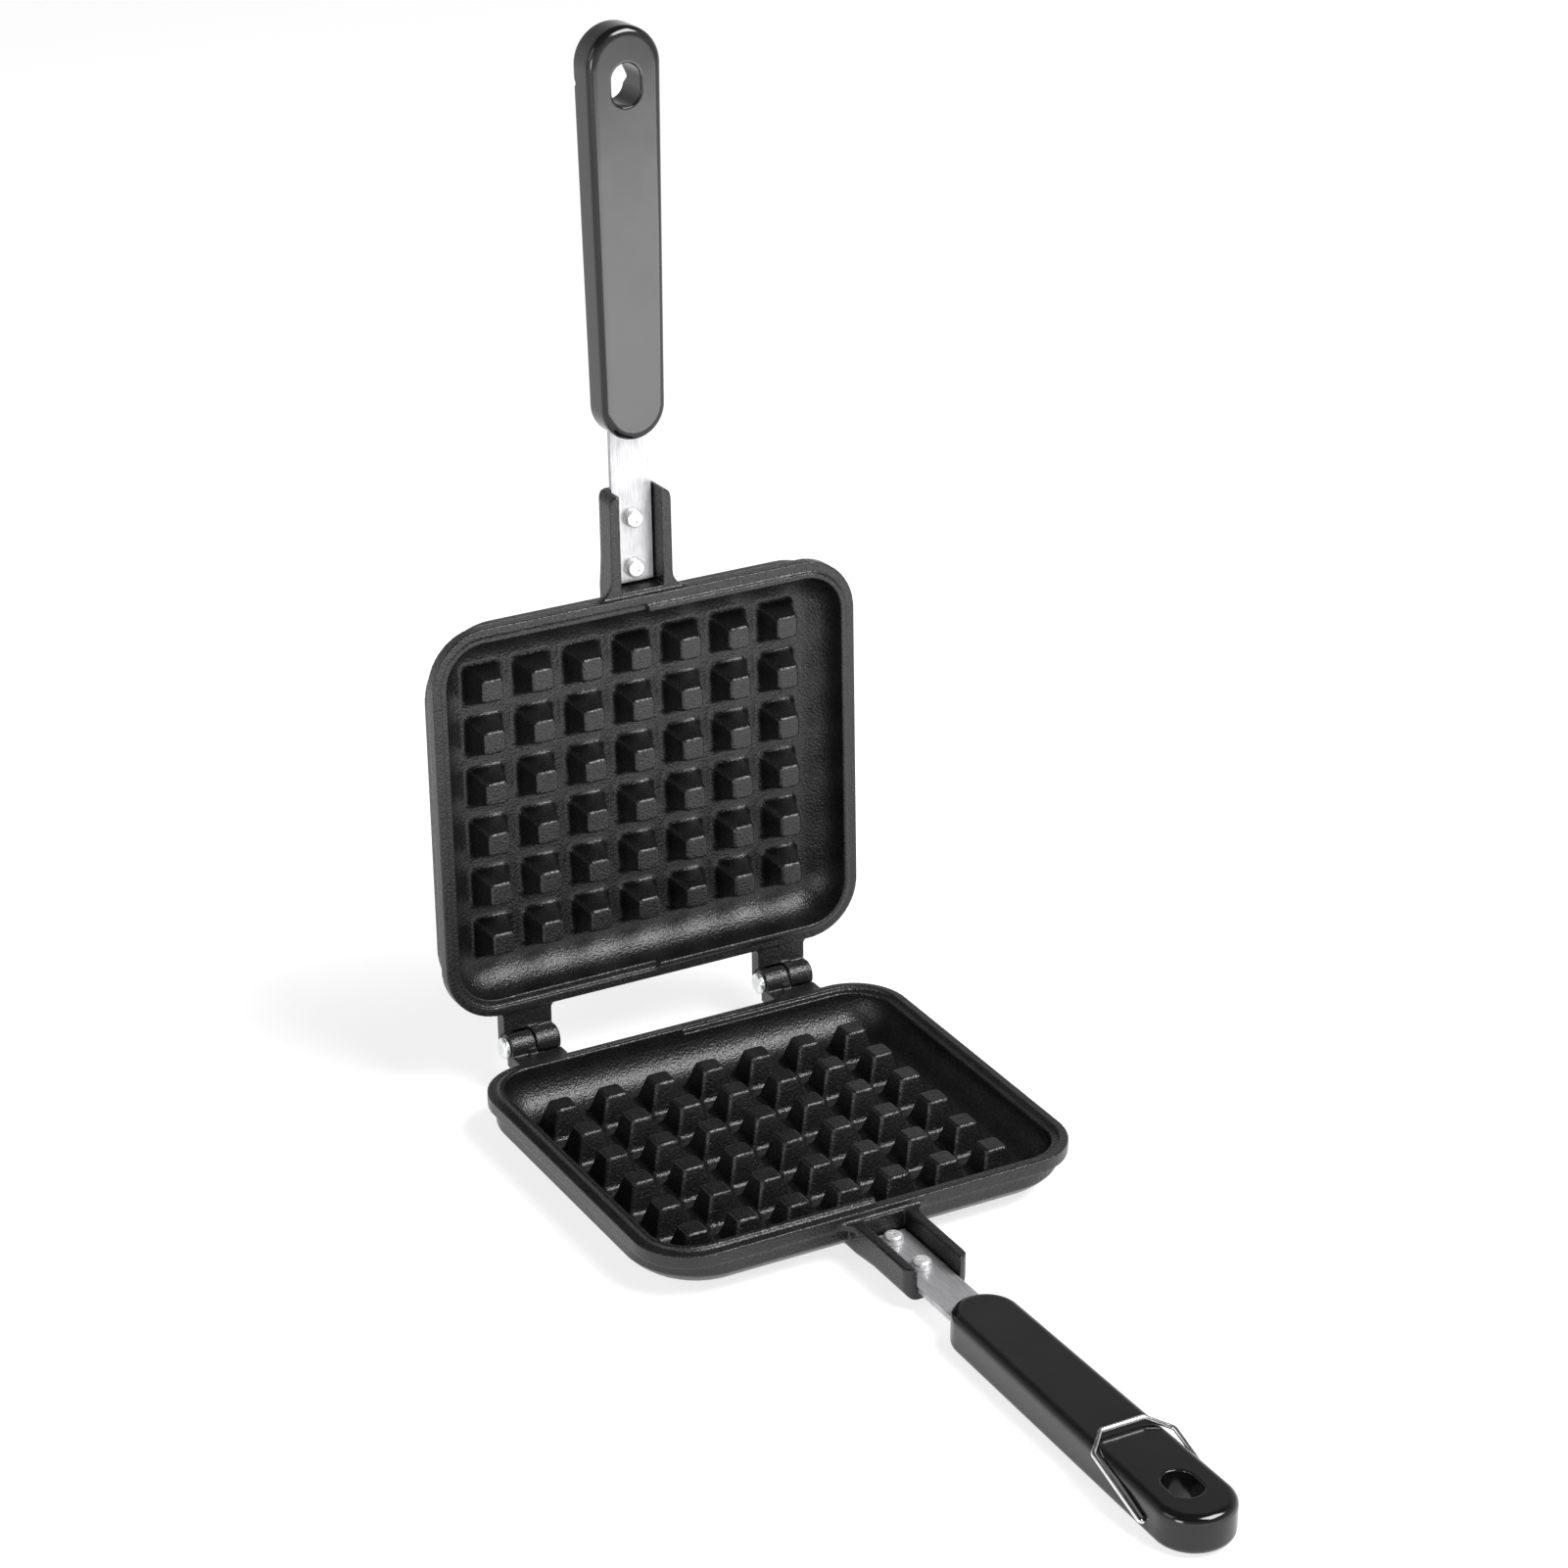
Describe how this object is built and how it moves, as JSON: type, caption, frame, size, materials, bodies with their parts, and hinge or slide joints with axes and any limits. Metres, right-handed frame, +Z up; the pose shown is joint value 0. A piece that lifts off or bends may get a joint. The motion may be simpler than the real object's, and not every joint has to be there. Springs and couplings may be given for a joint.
{
  "type": "stovetop waffle pan",
  "caption": "Two hinged cast pan halves with waffle pegs inside, long strap handles with moulded grips, and a wire bail that ties the closed grips together.",
  "frame": {"origin": "centre of the lower pan half's flat underside, on the surface that the pan lies on", "axes": "+Z up, -Y along the lower handle towards its grip, X along the hinge; the upper half stands open at the +Y side"},
  "size_m": [0.17, 0.4025, 0.386],
  "materials": {
    "coated_casting": "satin black non-stick coating with a fine pebble",
    "hinge_pin_steel": "bright",
    "strap_steel": "brushed",
    "screw_steel": "bright",
    "grip_plastic": "gloss black moulded phenolic",
    "bail_wire": "bright"
  },
  "bodies": {
    "lower": {"lower_pan": "coated_casting", "lower_strap": "strap_steel", "lower_screw_inner": "screw_steel", "lower_screw_outer": "screw_steel", "lower_grip": "grip_plastic"},
    "upper": {"upper_pan": "coated_casting", "hinge_pin_left": "hinge_pin_steel", "hinge_pin_right": "hinge_pin_steel", "upper_strap": "strap_steel", "upper_screw_inner": "screw_steel", "upper_screw_outer": "screw_steel", "upper_grip": "grip_plastic"},
    "bail": {"wire_bail": "bail_wire"}
  },
  "joints": [
    {"name": "pan_hinge", "type": "hinge", "parent": "lower", "child": "upper", "pos_m": [0, 0.0883, 0.0184], "axis": [1, 0, 0], "range_deg": [0, 92.6]},
    {"name": "bail_hinge", "type": "hinge", "parent": "lower", "child": "bail", "pos_m": [0, -0.26, 0.0057], "axis": [1, 0, 0], "range_deg": [0, 331]}
  ]
}
